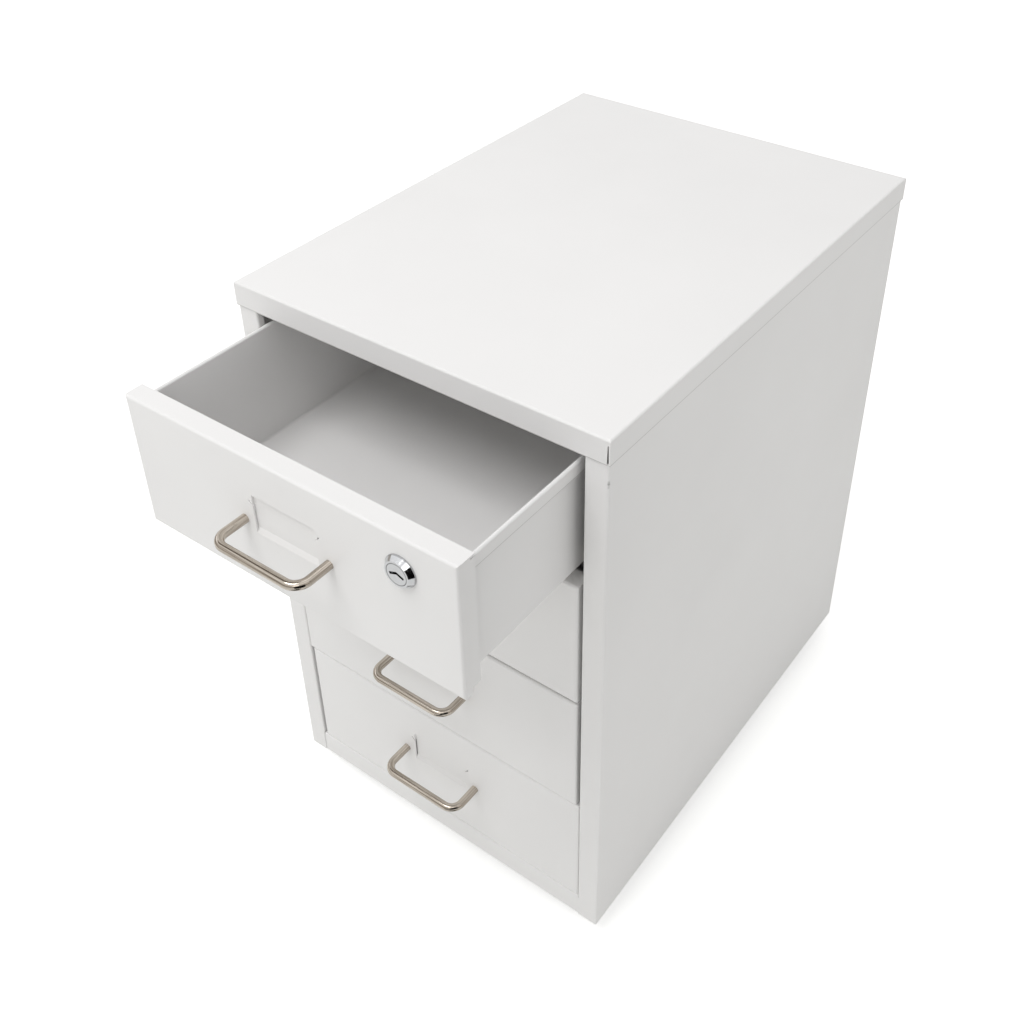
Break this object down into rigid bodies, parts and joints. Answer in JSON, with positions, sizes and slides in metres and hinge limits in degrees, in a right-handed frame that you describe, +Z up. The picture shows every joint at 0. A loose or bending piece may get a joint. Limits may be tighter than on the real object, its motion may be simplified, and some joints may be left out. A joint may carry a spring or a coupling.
{
  "type": "mobile file cabinet",
  "caption": "White folded-steel office pedestal with lockable stacked drawers, bent wire handles, pressed card recesses and swivel castors tucked under the plinth.",
  "frame": {"origin": "on the floor, under the middle of the whole cabinet with its top drawer pulled out as in the picture", "axes": "+Z up, +X to the right as seen from the front, the drawers open towards -Y"},
  "size_m": [0.39, 0.7112, 0.626],
  "materials": {
    "white_powder_coat": "fine satin powder coat",
    "satin_nickel_wire": "satin nickel plate",
    "lock_chrome": "polished",
    "zinc_plated_steel": "bright zinc plate",
    "nylon": "natural moulded nylon",
    "black_tread": "matt"
  },
  "bodies": {
    "cabinet": {"top_cover": "white_powder_coat", "left_side": "white_powder_coat", "right_side": "white_powder_coat", "back_panel": "white_powder_coat", "base_pan": "white_powder_coat", "plinth_rail": "white_powder_coat", "top_front_rail": "white_powder_coat", "left_runner_1": "zinc_plated_steel", "right_runner_1": "zinc_plated_steel", "left_runner_2": "zinc_plated_steel", "right_runner_2": "zinc_plated_steel", "left_runner_3": "zinc_plated_steel", "right_runner_3": "zinc_plated_steel", "left_runner_4": "zinc_plated_steel", "right_runner_4": "zinc_plated_steel", "runner_glides": "nylon", "castor_plates": "zinc_plated_steel", "castor_screws": "zinc_plated_steel", "cover_screws": "zinc_plated_steel"},
    "drawer_1": {"drawer_1_front": "white_powder_coat", "drawer_1_tray": "white_powder_coat", "drawer_1_back": "white_powder_coat", "drawer_1_shoes": "nylon", "drawer_1_handle": "satin_nickel_wire", "drawer_1_handle_screws": "zinc_plated_steel", "lock_body": "lock_chrome", "lock_nut": "zinc_plated_steel"},
    "drawer_2": {"drawer_2_front": "white_powder_coat", "drawer_2_tray": "white_powder_coat", "drawer_2_back": "white_powder_coat", "drawer_2_shoes": "nylon", "drawer_2_handle": "satin_nickel_wire", "drawer_2_handle_screws": "zinc_plated_steel"},
    "drawer_3": {"drawer_3_front": "white_powder_coat", "drawer_3_tray": "white_powder_coat", "drawer_3_back": "white_powder_coat", "drawer_3_shoes": "nylon", "drawer_3_handle": "satin_nickel_wire", "drawer_3_handle_screws": "zinc_plated_steel"},
    "drawer_4": {"drawer_4_front": "white_powder_coat", "drawer_4_tray": "white_powder_coat", "drawer_4_back": "white_powder_coat", "drawer_4_shoes": "nylon", "drawer_4_handle": "satin_nickel_wire", "drawer_4_handle_screws": "zinc_plated_steel"},
    "lock_barrel": {"lock_plug": "lock_chrome", "lock_cam": "zinc_plated_steel", "cam_screw": "zinc_plated_steel"},
    "castor_front_left": {"castor_front_left_fork": "zinc_plated_steel", "castor_front_left_axle": "zinc_plated_steel"},
    "castor_front_left_roll": {"castor_front_left_wheel": "black_tread"},
    "castor_front_right": {"castor_front_right_fork": "zinc_plated_steel", "castor_front_right_axle": "zinc_plated_steel"},
    "castor_front_right_roll": {"castor_front_right_wheel": "black_tread"},
    "castor_rear_left": {"castor_rear_left_fork": "zinc_plated_steel", "castor_rear_left_axle": "zinc_plated_steel"},
    "castor_rear_left_roll": {"castor_rear_left_wheel": "black_tread"},
    "castor_rear_right": {"castor_rear_right_fork": "zinc_plated_steel", "castor_rear_right_axle": "zinc_plated_steel"},
    "castor_rear_right_roll": {"castor_rear_right_wheel": "black_tread"}
  },
  "joints": [
    {"name": "drawer_1_slide", "type": "slide", "parent": "cabinet", "child": "drawer_1", "axis": [0, -1, 0], "range_m": [-0.143, 0.236]},
    {"name": "drawer_2_slide", "type": "slide", "parent": "cabinet", "child": "drawer_2", "axis": [0, -1, 0], "range_m": [0, 0.379]},
    {"name": "drawer_3_slide", "type": "slide", "parent": "cabinet", "child": "drawer_3", "axis": [0, -1, 0], "range_m": [0, 0.379]},
    {"name": "drawer_4_slide", "type": "slide", "parent": "cabinet", "child": "drawer_4", "axis": [0, -1, 0], "range_m": [0, 0.379]},
    {"name": "lock_turn", "type": "hinge", "parent": "drawer_1", "child": "lock_barrel", "pos_m": [0.1176, -0.3186, 0.568], "axis": [0, 1, 0], "range_deg": [0, 90]},
    {"name": "castor_front_left_swivel", "type": "hinge", "parent": "cabinet", "child": "castor_front_left", "pos_m": [-0.13771, -0.12031, 0.05], "axis": [0, 0, 1], "continuous": true},
    {"name": "castor_front_left_spin", "type": "hinge", "parent": "castor_front_left", "child": "castor_front_left_roll", "pos_m": [-0.13771, -0.10631, 0.019], "axis": [1, 0, 0], "continuous": true},
    {"name": "castor_front_right_swivel", "type": "hinge", "parent": "cabinet", "child": "castor_front_right", "pos_m": [0.13771, -0.12031, 0.05], "axis": [0, 0, 1], "continuous": true},
    {"name": "castor_front_right_spin", "type": "hinge", "parent": "castor_front_right", "child": "castor_front_right_roll", "pos_m": [0.13771, -0.10631, 0.019], "axis": [1, 0, 0], "continuous": true},
    {"name": "castor_rear_left_swivel", "type": "hinge", "parent": "cabinet", "child": "castor_rear_left", "pos_m": [-0.13771, 0.31011, 0.05], "axis": [0, 0, 1], "continuous": true},
    {"name": "castor_rear_left_spin", "type": "hinge", "parent": "castor_rear_left", "child": "castor_rear_left_roll", "pos_m": [-0.13771, 0.32411, 0.019], "axis": [1, 0, 0], "continuous": true},
    {"name": "castor_rear_right_swivel", "type": "hinge", "parent": "cabinet", "child": "castor_rear_right", "pos_m": [0.13771, 0.31011, 0.05], "axis": [0, 0, 1], "continuous": true},
    {"name": "castor_rear_right_spin", "type": "hinge", "parent": "castor_rear_right", "child": "castor_rear_right_roll", "pos_m": [0.13771, 0.32411, 0.019], "axis": [1, 0, 0], "continuous": true}
  ]
}
